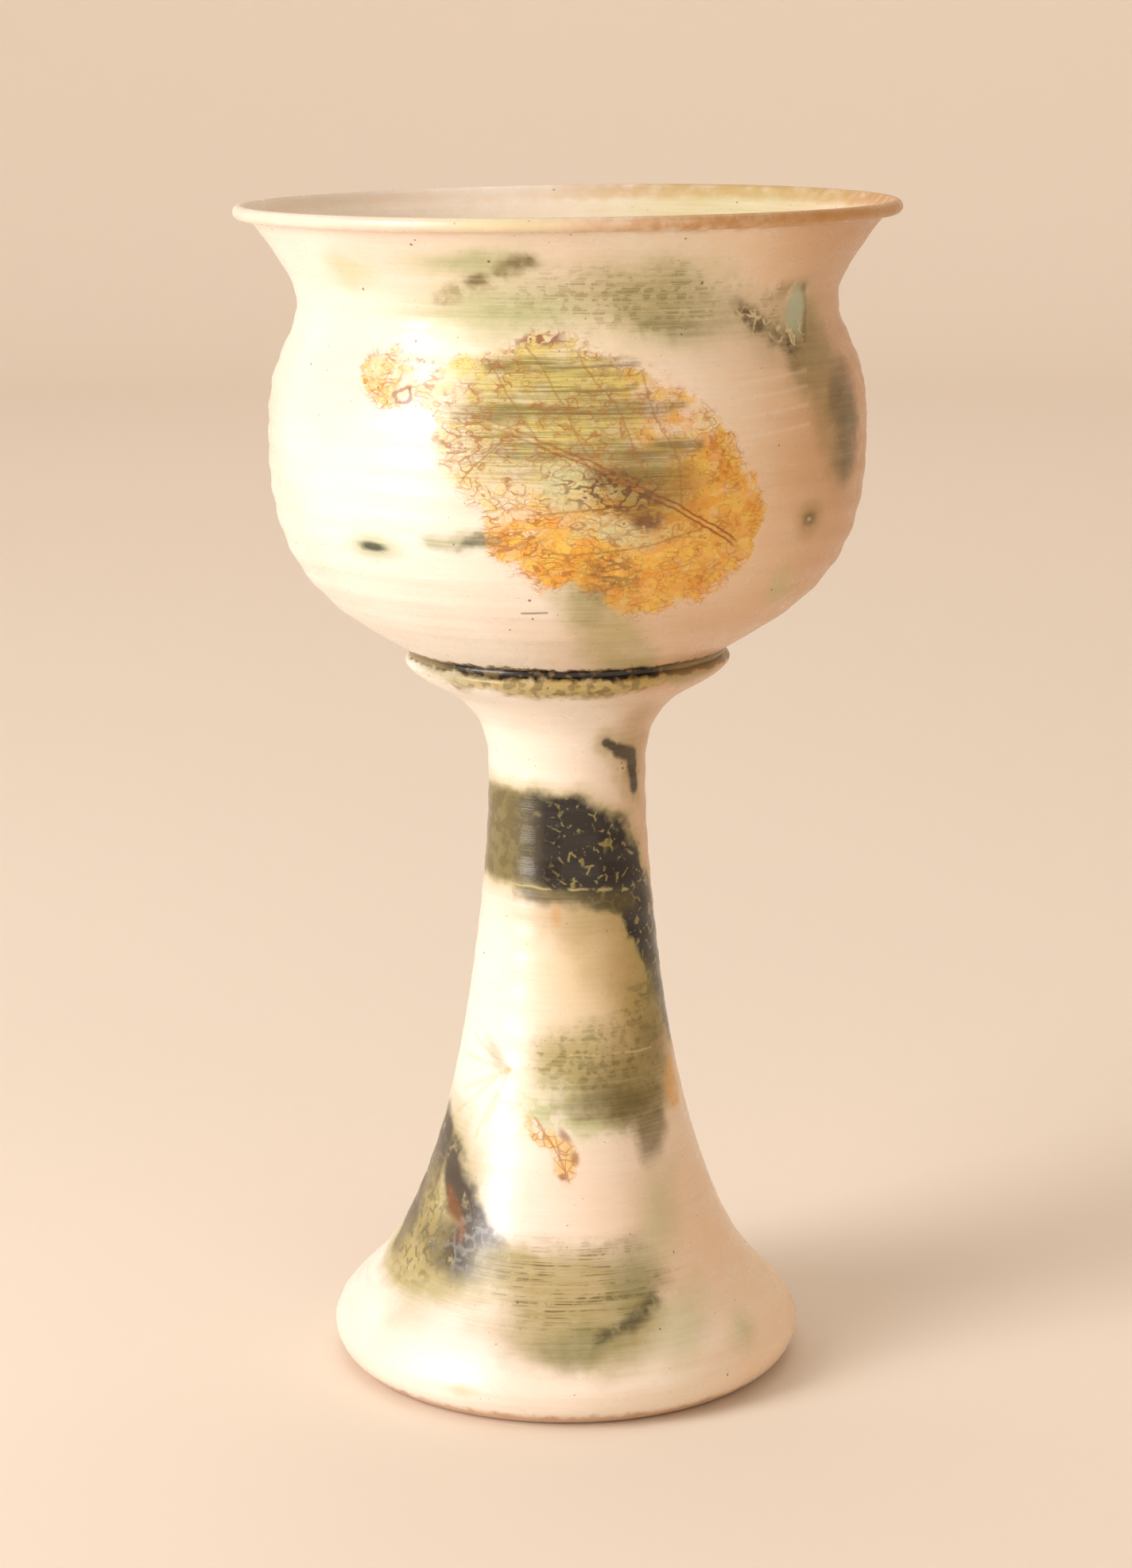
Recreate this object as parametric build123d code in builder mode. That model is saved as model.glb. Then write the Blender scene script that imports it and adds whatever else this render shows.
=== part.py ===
# A hand-thrown stoneware communion chalice, put together as a potter puts it together: a bowl
# and a hollow pedestal are thrown apart, their seats are scored, and slip lutes them in one.
# Millimetres, +Z up, with the origin at the centre of the circle that the foot stands on.
# Every piece is turned on a wheel, so each one is half a section in XZ, revolved about Z.
# A named point of a wall is its (radius, height).
from build123d import *
import os

# Driving dimensions.
HEIGHT = 230.0
LIP_RADIUS = 63.8
LIP_BEAD_RADIUS = 1.35
BOWL_WALL = 3.5
LIP_WALL = 2.9
STEM_WALL = 4.2
FLOOR_THICKNESS = 5.5
FOOT_RING_WIDTH = 4.6

# The luted seat, where the bowl stands on the collar of the pedestal.
SEAT_HEIGHT = 143.0
SEAT_OUTER_RADIUS = 30.2
SEAT_INNER_RADIUS = 21.5
SLIP_THICKNESS = 0.8
SLIP_BEAD_RADIUS = 0.9
SCORE_COUNT = 4
SCORE_WIDTH = 1.2
SCORE_DEPTH = 0.4
COLLAR_RADIUS = 31.5
COLLAR_EDGE_THICKNESS = 2.6
COLLAR_UNDERCUT = 0.7

# The outside of the bowl, from its base to the flare under the lip.
BASE_EDGE = (SEAT_OUTER_RADIUS + 0.4, SEAT_HEIGHT + SLIP_THICKNESS)
BASE_CURVE = (42.8, 151.6)
BOWL_SHOULDER = (52.6, 162.2)
BELLY = (57.3, 184.0)
UPPER_BELLY = (55.2, 200.0)
THROAT = (51.5, 211.2)
FLARE = (55.5, 220.4)

# The inside of the bowl, from its wall to the middle of its floor.
INNER_SHOULDER = (49.0, 163.5)
INNER_CURVE = (39.5, 154.4)
FLOOR_EDGE = (20.0, 150.2)
FLOOR_CENTRE = (0.0, BASE_EDGE[1] + FLOOR_THICKNESS)

# The outside of the pedestal, from the table to the collar.
CONTACT_EDGE = (41.8, 0.0)
FOOT_BEVEL = (45.4, 2.7)
FOOT_EDGE = (46.8, 6.9)
FOOT_ROUND = (45.3, 10.8)
FOOT_SLOPE = (39.0, 17.3)
SKIRT = (30.6, 30.5)
LOWER_STEM = (22.7, 55.5)
UPPER_STEM = (17.4, 88.0)
NECK = (15.4, 119.0)
COLLAR_THROAT = (16.8, 128.4)
COLLAR_CURVE = (22.6, 135.2)

# The hollow of the pedestal, from the seat down to the ring of bare clay.
FUNNEL = (14.6, 133.0)
INNER_SKIRT = (26.0, 30.5)
INNER_SLOPE = (33.6, 16.5)
HOLLOW_EDGE = (CONTACT_EDGE[0] - FOOT_RING_WIDTH, 0.0)

# Directions in which a wall runs, in its half section.
UP = (0, 1)
DOWN = (0, -1)
INWARDS = (-1, 0)
UP_AND_OUT = (1, 1)
OUT_AND_UP = (3, 2)
DOWN_AND_IN = (-1, -1)
DOWN_AND_OUT = (1, -5)


def moved_in(point, wall):
    """The point at the same height on the inside of a wall of this thickness."""
    return (point[0] - wall, point[1])


def smooth_wall(*points, start, end):
    """A smooth curve through these points, with the directions in which it starts and ends."""
    Spline(*points, tangents=(start, end), tangent_scalars=(1, 1))


# The slip, a thin ring keyed into the scoring of both seats and squeezed out as a small bead.
with BuildPart() as slip_joint:
    with BuildSketch(Plane.XZ):
        slip_height = SEAT_HEIGHT + SLIP_THICKNESS / 2
        seat_width = SEAT_OUTER_RADIUS - SEAT_INNER_RADIUS
        score_reach = SLIP_THICKNESS / 2 + SCORE_DEPTH
        with Locations((SEAT_INNER_RADIUS + seat_width / 2, slip_height)):
            Rectangle(seat_width, SLIP_THICKNESS)
            with GridLocations(seat_width / SCORE_COUNT, 1, SCORE_COUNT, 1):
                Polygon(
                    (-SCORE_WIDTH / 2, 0),
                    (0, -score_reach),
                    (SCORE_WIDTH / 2, 0),
                    (0, score_reach),
                    align=None,
                )
        with Locations((SEAT_OUTER_RADIUS, slip_height)):
            Circle(SLIP_BEAD_RADIUS)
    revolve(axis=Axis.Z)

slip_joint.part.label = "slip_joint"

# The bowl: a flat base, a round belly, a narrower throat and a flare that ends in a rolled lip.
with BuildPart() as bowl:
    with BuildSketch(Plane.XZ):
        with BuildLine():
            lip = CenterArc(
                (LIP_RADIUS - LIP_BEAD_RADIUS, HEIGHT - LIP_BEAD_RADIUS),
                LIP_BEAD_RADIUS,
                start_angle=-150,
                arc_size=260,
            )
            smooth_wall(BASE_EDGE, BASE_CURVE, BOWL_SHOULDER, BELLY, start=OUT_AND_UP, end=UP)
            smooth_wall(BELLY, UPPER_BELLY, THROAT, start=UP, end=UP)
            smooth_wall(THROAT, FLARE, lip @ 0, start=UP, end=UP_AND_OUT)
            inner_flare = moved_in(FLARE, LIP_WALL)
            inner_throat = moved_in(THROAT, BOWL_WALL)
            inner_upper_belly = moved_in(UPPER_BELLY, BOWL_WALL)
            inner_belly = moved_in(BELLY, BOWL_WALL)
            smooth_wall(lip @ 1, inner_flare, inner_throat, start=DOWN_AND_IN, end=DOWN)
            smooth_wall(inner_throat, inner_upper_belly, inner_belly, start=DOWN, end=DOWN)
            smooth_wall(
                inner_belly,
                INNER_SHOULDER,
                INNER_CURVE,
                FLOOR_EDGE,
                FLOOR_CENTRE,
                start=DOWN,
                end=INWARDS,
            )
            Polyline(FLOOR_CENTRE, (0, BASE_EDGE[1]), BASE_EDGE)
        make_face()
    revolve(axis=Axis.Z)
    add(slip_joint.part, mode=Mode.SUBTRACT)

bowl.part.label = "bowl"

# The pedestal: a flared foot, a hollow tapered stem and a collar that opens like a funnel.
with BuildPart() as pedestal:
    with BuildSketch(Plane.XZ):
        with BuildLine():
            ThreePointArc(CONTACT_EDGE, FOOT_BEVEL, FOOT_EDGE)
            smooth_wall(
                FOOT_EDGE,
                FOOT_ROUND,
                FOOT_SLOPE,
                SKIRT,
                LOWER_STEM,
                UPPER_STEM,
                NECK,
                start=UP,
                end=UP,
            )
            collar_under = (COLLAR_RADIUS - COLLAR_UNDERCUT, SEAT_HEIGHT - COLLAR_EDGE_THICKNESS)
            collar_edge = (COLLAR_RADIUS, SEAT_HEIGHT - COLLAR_EDGE_THICKNESS / 2)
            collar_top = (SEAT_OUTER_RADIUS, SEAT_HEIGHT)
            seat_inner = (SEAT_INNER_RADIUS, SEAT_HEIGHT)
            inner_neck = moved_in(NECK, STEM_WALL)
            smooth_wall(NECK, COLLAR_THROAT, COLLAR_CURVE, collar_under, start=UP, end=UP_AND_OUT)
            ThreePointArc(collar_under, collar_edge, collar_top)
            Line(collar_top, seat_inner)
            smooth_wall(seat_inner, FUNNEL, inner_neck, start=DOWN_AND_IN, end=DOWN)
            smooth_wall(
                inner_neck,
                moved_in(UPPER_STEM, STEM_WALL),
                moved_in(LOWER_STEM, STEM_WALL),
                INNER_SKIRT,
                INNER_SLOPE,
                HOLLOW_EDGE,
                start=DOWN,
                end=DOWN_AND_OUT,
            )
            Line(HOLLOW_EDGE, CONTACT_EDGE)
        make_face()
    revolve(axis=Axis.Z)
    add(slip_joint.part, mode=Mode.SUBTRACT)

pedestal.part.label = "pedestal"

os.makedirs("parts", exist_ok=True)
export_step(bowl.part, "parts/bowl.step")
export_step(slip_joint.part, "parts/slip_joint.step")
export_step(pedestal.part, "parts/pedestal.step")
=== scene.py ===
import math

import bmesh
import bpy
import numpy as np
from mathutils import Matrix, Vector, noise


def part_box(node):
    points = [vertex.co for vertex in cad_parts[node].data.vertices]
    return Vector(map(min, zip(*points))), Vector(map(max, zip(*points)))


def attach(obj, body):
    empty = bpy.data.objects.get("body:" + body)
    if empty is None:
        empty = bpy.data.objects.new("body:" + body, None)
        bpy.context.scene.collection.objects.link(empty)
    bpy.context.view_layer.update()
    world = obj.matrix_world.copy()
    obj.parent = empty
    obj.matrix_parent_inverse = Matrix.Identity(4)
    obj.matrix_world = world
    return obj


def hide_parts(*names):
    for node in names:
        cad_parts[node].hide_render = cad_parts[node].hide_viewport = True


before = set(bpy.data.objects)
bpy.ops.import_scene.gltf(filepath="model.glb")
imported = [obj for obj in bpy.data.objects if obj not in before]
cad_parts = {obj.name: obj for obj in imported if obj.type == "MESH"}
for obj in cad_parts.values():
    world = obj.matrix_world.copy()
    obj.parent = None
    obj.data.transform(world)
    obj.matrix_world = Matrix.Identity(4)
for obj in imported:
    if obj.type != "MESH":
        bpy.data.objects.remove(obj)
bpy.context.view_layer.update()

# Shapes and paint are worked out in millimetres and made in metres.
MM = 0.001
BOWL_LOW, BOWL_HIGH = (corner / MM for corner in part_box("bowl"))
FOOT_LOW, FOOT_HIGH = (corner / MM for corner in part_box("pedestal"))
SLIP_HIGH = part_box("slip_joint")[1] / MM

# The hand of the potter: the clay leans a little, so the lip rises to one side.
TILT = 0.011
TILT_HEIGHT = 138.0
LEAN = 0.3
LIP_CLEARANCE = 0.5
RIM_DROP = 0.9
FOOT_CLEARANCE = 0.25

HEIGHT = BOWL_HIGH.z - RIM_DROP
LIP_RADIUS = BOWL_HIGH.x - LIP_CLEARANCE
LIP_BEAD = 1.3
LIP_START, LIP_END = -150, 110
LIP_WALL = 2.9
BASE_HEIGHT = BOWL_LOW.z
SEAT_HEIGHT = FOOT_HIGH.z
SLIP_BEAD = 0.9
SEAT_RADIUS = SLIP_HIGH.x - SLIP_BEAD
SLIP_INNER, SLIP_OUTER = 21.7, 29.4
SLIP_BOTTOM, SLIP_TOP = SEAT_HEIGHT + 0.03, SEAT_HEIGHT + 0.77
COLLAR_RADIUS = SEAT_RADIUS + 1.3
FOOT_RADIUS = FOOT_HIGH.x - FOOT_CLEARANCE
BOWL_WALL = 3.5
STEM_WALL = 4.2

# Points of the walls, as (radius, height).
BASE_EDGE = (SEAT_RADIUS + 0.4, BASE_HEIGHT)
BASE_CURVE = (42.8, 151.6)
BOWL_SHOULDER = (52.5, 162.2)
BELLY = (57.2, 184.0)
UPPER_BELLY = (55.2, 199.7)
THROAT = (51.4, 210.7)
FLARE = (55.2, 219.7)
INNER_SHOULDER = (49.0, 163.5)
INNER_CURVE = (39.5, 154.4)
FLOOR_EDGE = (20.0, 150.2)
FLOOR_CENTRE = (0.0, BASE_HEIGHT + 5.5)

CONTACT_EDGE = (FOOT_RADIUS - 4.8, FOOT_LOW.z)
FOOT_BEVEL = (FOOT_RADIUS - 1.4, 2.7)
FOOT_EDGE = (FOOT_RADIUS, 6.9)
FOOT_ROUND = (FOOT_RADIUS - 1.5, 10.8)
FOOT_SLOPE = (38.9, 17.3)
SKIRT = (30.6, 30.5)
LOWER_STEM = (22.7, 55.5)
UPPER_STEM = (17.4, 88.0)
NECK = (15.4, 119.0)
COLLAR_THROAT = (16.8, 128.4)
COLLAR_CURVE = (22.6, 135.2)
COLLAR_UNDER = (COLLAR_RADIUS - 0.7, SEAT_HEIGHT - 2.6)
COLLAR_EDGE = (COLLAR_RADIUS, SEAT_HEIGHT - 1.3)
SEAT_OUTER = (SEAT_RADIUS, SEAT_HEIGHT)
SEAT_INNER = (21.5, SEAT_HEIGHT)
FUNNEL = (14.6, 133.0)
INNER_SKIRT = (26.0, 30.5)
INNER_SLOPE = (33.6, 16.5)
HOLLOW_EDGE = (CONTACT_EDGE[0] - 4.6, FOOT_LOW.z)

UP = (0.0, 1.0)
DOWN = (0.0, -1.0)
INWARDS = (-1.0, 0.0)
UP_AND_OUT = (1.0, 1.0)
OUT_AND_UP = (3.0, 2.0)
DOWN_AND_IN = (-1.0, -1.0)
DOWN_AND_OUT = (1.0, -5.0)

OUTSIDE, INSIDE = 0.0, 1.0

# How many places round each mesh has.
BOWL_COLUMNS, PEDESTAL_COLUMNS = 384, 256

# Where a colour mix node takes its two colours and gives its result.
MIX_A, MIX_B, MIX_RESULT = 6, 7, 2


# ---------------- shapes


def smooth(points, start, end, step):
    """Points about a step apart on the smooth curve through these, without its last point."""
    knots = np.array(points, float)
    chord = np.linalg.norm(np.diff(knots, axis=0), axis=1)
    last = len(knots) - 1
    weights = np.eye(last + 1)
    known = np.zeros_like(knots)
    known[0] = np.array(start) / np.linalg.norm(start)
    known[last] = np.array(end) / np.linalg.norm(end)
    for i in range(1, last):
        before, after = chord[i - 1], chord[i]
        weights[i, i - 1 : i + 2] = after, 2 * (before + after), before
        rise = (knots[i] - knots[i - 1]) * after / before
        known[i] = 3 * (rise + (knots[i + 1] - knots[i]) * before / after)
    slope = np.linalg.solve(weights, known)
    rows = []
    for i in range(last):
        count = max(2, round(chord[i] / step))
        t = np.arange(count)[:, None] / count
        t2, t3 = t * t, t * t * t
        rows.append(
            (2 * t3 - 3 * t2 + 1) * knots[i]
            + (t3 - 2 * t2 + t) * chord[i] * slope[i]
            + (3 * t2 - 2 * t3) * knots[i + 1]
            + (t3 - t2) * chord[i] * slope[i + 1]
        )
    return np.vstack(rows)


def arc(centre, radius, first, last, step):
    """Points on an arc about a centre, from one angle in degrees up to another."""
    count = max(4, round(abs(math.radians(last - first)) * radius / step))
    angle = np.radians(np.linspace(first, last, count, endpoint=False))
    return np.column_stack([centre[0] + radius * np.cos(angle), centre[1] + radius * np.sin(angle)])


def straight(first, last, step):
    """Points along a straight line, without its last point."""
    count = max(2, round(math.dist(first, last) / step))
    return np.linspace(first, last, count, endpoint=False)


def inner(point, wall):
    """The point at the same height on the inside of a wall."""
    return (point[0] - wall, point[1])


def lumps(x, y, z, size, seed):
    """Smooth noise from -1 to 1 at each point, in lumps of about this size."""
    away = Vector((seed * 17.3, seed * 5.9, seed * 11.1))
    points = zip(x.ravel(), y.ravel(), z.ravel())
    return np.array([noise.noise(Vector(p) / size + away) for p in points]).reshape(x.shape)


def fade(value, low, high):
    """0 at low, 1 at high, and a smooth rise between them."""
    t = np.clip((value - low) / (high - low), 0, 1)
    return t * t * (3 - 2 * t)


def throwing_marks(place, pitch, depth, seed):
    """The spiral groove that fingers leave in clay on a wheel, deeper here and shallower there."""
    angle, height, x, y = place
    strength = 0.7 + 0.9 * lumps(x, y, height, 21.0, seed)
    drift = 1.8 * lumps(x, y, height * 2, 33.0, seed + 3)
    return depth * strength * np.sin(2 * math.pi * height / pitch + angle + drift)


def lathe(name, sections, columns, shape, closed):
    """Turns an outline about Z. shape gives how far each of its points moves outwards and upwards.
    sections are (points, side) in order; a closed outline joins its ends, an open one meets the axis."""
    outline = np.vstack([points for points, side in sections])
    sides = np.concatenate([np.full(len(points), side) for points, side in sections])
    angle, radius = np.meshgrid(np.linspace(0, 2 * math.pi, columns, endpoint=False), outline[:, 0])
    height = np.repeat(outline[:, 1:], columns, axis=1)
    side = np.repeat(sides[:, None], columns, axis=1)
    x, y = radius * np.sin(angle), -radius * np.cos(angle)
    outwards, upwards = shape((angle, height, x, y), radius, side)
    radius = radius + outwards * fade(radius, 0.0, 9.0)
    x, y = radius * np.sin(angle), -radius * np.cos(angle)
    settled = np.clip(height / TILT_HEIGHT, 0, 1)
    points = np.stack([x + LEAN * settled, y, height + upwards + TILT * settled * x], axis=-1)
    rows = len(outline)
    faces = []
    for row in range(rows if closed else rows - 1):
        below, above = row * columns, (row + 1) % rows * columns
        for column in range(columns):
            beside = (column + 1) % columns
            if not closed and row == 0:
                faces.append((below, above + beside, above + column))
            elif not closed and row == rows - 2:
                faces.append((below + column, below + beside, above))
            else:
                faces.append((below + column, below + beside, above + beside, above + column))
    mesh = bpy.data.meshes.new(name)
    mesh.from_pydata((points.reshape(-1, 3) * MM).tolist(), [], faces)
    mesh.attributes.new("side", "FLOAT", "POINT").data.foreach_set("value", side.ravel())
    work = bmesh.new()
    work.from_mesh(mesh)
    bmesh.ops.delete(work, geom=[v for v in work.verts if not v.link_faces], context="VERTS")
    bmesh.ops.recalc_face_normals(work, faces=work.faces)
    work.to_mesh(mesh)
    work.free()
    mesh.polygons.foreach_set("use_smooth", [True] * len(mesh.polygons))
    piece = bpy.data.objects.new(name, mesh)
    bpy.context.scene.collection.objects.link(piece)
    return piece


def bowl_shape(place, radius, side):
    """Throwing marks in and out, and a lip that isn't quite round or level."""
    angle, height, x, y = place
    free = fade(height, BASE_HEIGHT + 1, BASE_HEIGHT + 9) * fade(radius, 8, 26)
    near_lip = fade(height, 205.0, HEIGHT - 4)
    outer_marks = throwing_marks(place, 5.4, 0.16, 1) + throwing_marks(place, 2.3, 0.05, 2)
    inner_marks = throwing_marks(place, 7.5, 0.3, 4)
    marks = np.where(side == OUTSIDE, outer_marks * (1 - 0.6 * near_lip), inner_marks)
    wobble = near_lip * (0.13 * np.sin(2 * angle + 0.8) + 0.06 * np.sin(5 * angle + 2.0))
    swell = 0.35 * lumps(x, y, height, 55.0, 6)
    wave = near_lip * (0.12 * np.sin(2 * angle + 2.4) + 0.06 * np.sin(3 * angle))
    floor = (1 - fade(height, 151.0, 156.0)) * (side == INSIDE) * fade(radius, 3, 14)
    spiral = 0.22 * floor * np.sin(2 * math.pi * radius / 6.5 + angle)
    return free * (marks * (1 - near_lip * 0.5) + swell * (1 - near_lip)) + wobble, wave + spiral


def pedestal_shape(place, radius, side):
    """Throwing marks on the stem and in the hollow, and a foot trimmed by hand."""
    angle, height, x, y = place
    free = fade(height, 1.0, 9.0) * fade(SEAT_HEIGHT - height, 2.0, 9.0)
    outer_marks = throwing_marks(place, 6.2, 0.09, 11) + throwing_marks(place, 2.1, 0.03, 12)
    inner_marks = throwing_marks(place, 8.5, 0.45, 14)
    marks = np.where(side == OUTSIDE, outer_marks, inner_marks)
    foot = fade(height, 0.4, 4.0) * (1 - fade(height, 12.0, 30.0)) * (side == OUTSIDE)
    line = -0.28 * np.exp(-(((height - 9.2 - 0.5 * np.sin(angle + 1.0)) / 0.55) ** 2)) * (side == OUTSIDE)
    trim = line + foot * (0.12 * np.sin(2 * angle + 1.0) + 0.16 * lumps(x, y, height * 3, 18.0, 15))
    swell = 0.3 * lumps(x, y, height, 40.0, 16)
    return free * (marks + swell * fade(height, 14.0, 40.0)) + trim, 0 * height


def slip_shape(place, radius, side):
    """A bead of slip that was wiped unevenly round the joint."""
    angle, height, x, y = place
    bead = fade(radius, SEAT_RADIUS - 0.5, SEAT_RADIUS + 0.5)
    return bead * (-0.22 + 0.2 * lumps(x, y, height, 5.0, 21)), 0 * height


lip_centre = (LIP_RADIUS - LIP_BEAD, HEIGHT - LIP_BEAD)
lip = arc(lip_centre, LIP_BEAD, LIP_START, LIP_END, 0.35)
lip_in = (lip_centre[0] + LIP_BEAD * math.cos(math.radians(LIP_END)),
          lip_centre[1] + LIP_BEAD * math.sin(math.radians(LIP_END)))
inner_belly, inner_upper = inner(BELLY, BOWL_WALL), inner(UPPER_BELLY, BOWL_WALL)
inner_throat, inner_flare = inner(THROAT, BOWL_WALL), inner(FLARE, LIP_WALL)
bowl = lathe(
    "chalice_bowl",
    [
        (straight((0.0, BASE_HEIGHT), BASE_EDGE, 3.0), INSIDE),
        (smooth([BASE_EDGE, BASE_CURVE, BOWL_SHOULDER, BELLY], OUT_AND_UP, UP, 0.8), OUTSIDE),
        (smooth([BELLY, UPPER_BELLY, THROAT], UP, UP, 0.8), OUTSIDE),
        (smooth([THROAT, FLARE, tuple(lip[0])], UP, UP_AND_OUT, 0.6), OUTSIDE),
        (lip, OUTSIDE),
        (smooth([lip_in, inner_flare, inner_throat], DOWN_AND_IN, DOWN, 1.2), INSIDE),
        (smooth([inner_throat, inner_upper, inner_belly], DOWN, DOWN, 1.4), INSIDE),
        (smooth([inner_belly, INNER_SHOULDER, INNER_CURVE, FLOOR_EDGE, FLOOR_CENTRE],
                DOWN, INWARDS, 1.4), INSIDE),
        (np.array([FLOOR_CENTRE]), INSIDE),
    ],
    BOWL_COLUMNS, bowl_shape, closed=False,
)
pedestal = lathe(
    "chalice_pedestal",
    [
        (smooth([CONTACT_EDGE, FOOT_BEVEL, FOOT_EDGE], (2.0, 1.0), UP, 0.5), OUTSIDE),
        (smooth([FOOT_EDGE, FOOT_ROUND, FOOT_SLOPE, SKIRT, LOWER_STEM, UPPER_STEM, NECK],
                UP, UP, 0.8), OUTSIDE),
        (smooth([NECK, COLLAR_THROAT, COLLAR_CURVE, COLLAR_UNDER], UP, UP_AND_OUT, 0.6), OUTSIDE),
        (smooth([COLLAR_UNDER, COLLAR_EDGE, SEAT_OUTER], UP_AND_OUT, (-1.0, 0.6), 0.4), OUTSIDE),
        (straight(SEAT_OUTER, SEAT_INNER, 2.0), INSIDE),
        (smooth([SEAT_INNER, FUNNEL, inner(NECK, STEM_WALL)], DOWN_AND_IN, DOWN, 1.2), INSIDE),
        (smooth([inner(NECK, STEM_WALL), inner(UPPER_STEM, STEM_WALL),
                 inner(LOWER_STEM, STEM_WALL), INNER_SKIRT, INNER_SLOPE, HOLLOW_EDGE],
                DOWN, DOWN_AND_OUT, 1.5), INSIDE),
        (straight(HOLLOW_EDGE, CONTACT_EDGE, 0.9), INSIDE),
    ],
    PEDESTAL_COLUMNS, pedestal_shape, closed=True,
)
bead_centre = (SEAT_RADIUS, SEAT_HEIGHT + 0.4)
slip = lathe(
    "chalice_slip",
    [
        (straight((SLIP_INNER, SLIP_BOTTOM), (SLIP_OUTER, SLIP_BOTTOM), 2.0), INSIDE),
        (arc(bead_centre, SLIP_BEAD, -150, 150, 0.2), OUTSIDE),
        (straight((SLIP_OUTER, SLIP_TOP), (SLIP_INNER, SLIP_TOP), 2.0), INSIDE),
    ],
    PEDESTAL_COLUMNS, slip_shape, closed=True,
)


# ---------------- glaze


def srgb(red, green, blue):
    """A linear colour from its display values, which go from 0 to 255."""
    linear = [(c / 255 + 0.055) ** 2.4 / 1.055**2.4 if c > 10 else c / 3294 for c in (red, green, blue)]
    return (*linear, 1.0)


class Glaze:
    """A material whose colour is laid down in layers, as slip, oxides and glaze are."""

    def __init__(self, name, ground):
        self.material = bpy.data.materials.new(name)
        self.material.use_nodes = True
        self.tree = self.material.node_tree
        self.shader = self.tree.nodes["Principled BSDF"]
        place = self.add("ShaderNodeTexCoord")
        scaled = self.add("ShaderNodeVectorMath", operation="SCALE")
        self.link(place.outputs["Object"], scaled.inputs[0])
        scaled.inputs["Scale"].default_value = 1 / MM
        self.point = scaled.outputs[0]
        split = self.add("ShaderNodeSeparateXYZ")
        self.link(self.point, split.inputs[0])
        x, y, self.z = split.outputs
        self.x = x
        self.depth = y
        flat = self.add("ShaderNodeCombineXYZ")
        self.link(x, flat.inputs[0])
        self.link(y, flat.inputs[1])
        across = self.add("ShaderNodeVectorMath", operation="LENGTH")
        self.link(flat.outputs[0], across.inputs[0])
        self.radius = across.outputs["Value"]
        self.front = self.unrolled(x, self.calc("MULTIPLY", y, -1.0))
        self.back = self.unrolled(self.calc("MULTIPLY", x, -1.0), y)
        side = self.add("ShaderNodeAttribute", attribute_name="side")
        self.inside = side.outputs["Fac"]
        self.outside = self.calc("SUBTRACT", 1.0, self.inside)
        self.colour = ground

    def add(self, kind, **settings):
        node = self.tree.nodes.new(kind)
        for key, value in settings.items():
            setattr(node, key, value)
        return node

    def link(self, source, target):
        """Joins a socket to a socket, or sets a socket to a value."""
        if isinstance(source, bpy.types.NodeSocket):
            self.tree.links.new(source, target)
        else:
            target.default_value = source

    def calc(self, operation, *values):
        node = self.add("ShaderNodeMath", operation=operation)
        for socket, value in zip(node.inputs, values):
            self.link(value, socket)
        return node.outputs[0]

    def unrolled(self, sine, cosine):
        """The surface laid flat: how far round it a point is, its height, and nothing."""
        turned = self.calc("ARCTAN2", sine, cosine)
        flat = self.add("ShaderNodeCombineXYZ")
        self.link(self.calc("MULTIPLY", turned, self.radius), flat.inputs[0])
        self.link(self.z, flat.inputs[1])
        return flat.outputs[0]

    def ramp(self, value, low, high, at_low=0.0, at_high=1.0, kind="SMOOTHSTEP"):
        node = self.add("ShaderNodeMapRange", interpolation_type=kind)
        for socket, given in zip(node.inputs, (value, low, high, at_low, at_high)):
            self.link(given, socket)
        return node.outputs[0]

    def noise(self, size, detail=2.0, stretch=None, seed=0.0, rough=0.5):
        """Smooth noise from 0 to 1 in lumps of this size, drawn out along an axis by stretch."""
        node = self.add("ShaderNodeTexNoise", noise_dimensions="4D")
        if stretch is None:
            self.link(self.point, node.inputs["Vector"])
            node.inputs["Scale"].default_value = 1 / size
        else:
            drawn = self.add("ShaderNodeVectorMath", operation="DIVIDE")
            self.link(self.point, drawn.inputs[0])
            drawn.inputs[1].default_value = [size * s for s in stretch]
            self.link(drawn.outputs[0], node.inputs["Vector"])
            node.inputs["Scale"].default_value = 1.0
        node.inputs["W"].default_value = seed
        node.inputs["Detail"].default_value = detail
        node.inputs["Roughness"].default_value = rough
        return node.outputs["Fac"]

    def shaken(self, where, *shakes):
        """A place on the surface moved by pairs of noises, so that paint there has a ragged edge."""
        for across, up, reach in shakes:
            pair = self.add("ShaderNodeCombineXYZ")
            self.link(across, pair.inputs[0])
            self.link(up, pair.inputs[1])
            step = self.add("ShaderNodeVectorMath", operation="MULTIPLY_ADD")
            self.link(pair.outputs[0], step.inputs[0])
            step.inputs[1].default_value = (*reach, 0.0)
            self.link(where, step.inputs[2])
            middle = self.add("ShaderNodeVectorMath", operation="SUBTRACT")
            self.link(step.outputs[0], middle.inputs[0])
            middle.inputs[1].default_value = (reach[0] / 2, reach[1] / 2, 0.0)
            where = middle.outputs[0]
        return where

    def seen_from(self, where, at, turn, size=(1.0, 1.0)):
        """How far a place is from a point, along a line turned by so many degrees and across it."""
        local = self.add("ShaderNodeVectorMath", operation="SUBTRACT")
        self.link(where, local.inputs[0])
        local.inputs[1].default_value = (*at, 0.0)
        cosine, sine = math.cos(math.radians(turn)), math.sin(math.radians(turn))
        reads = []
        for axis, reach in (((cosine, sine), size[0]), ((-sine, cosine), size[1])):
            read = self.add("ShaderNodeVectorMath", operation="DOT_PRODUCT")
            self.link(local.outputs[0], read.inputs[0])
            read.inputs[1].default_value = (axis[0] / reach, axis[1] / reach, 0.0)
            reads.append(read.outputs["Value"])
        return reads

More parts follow.
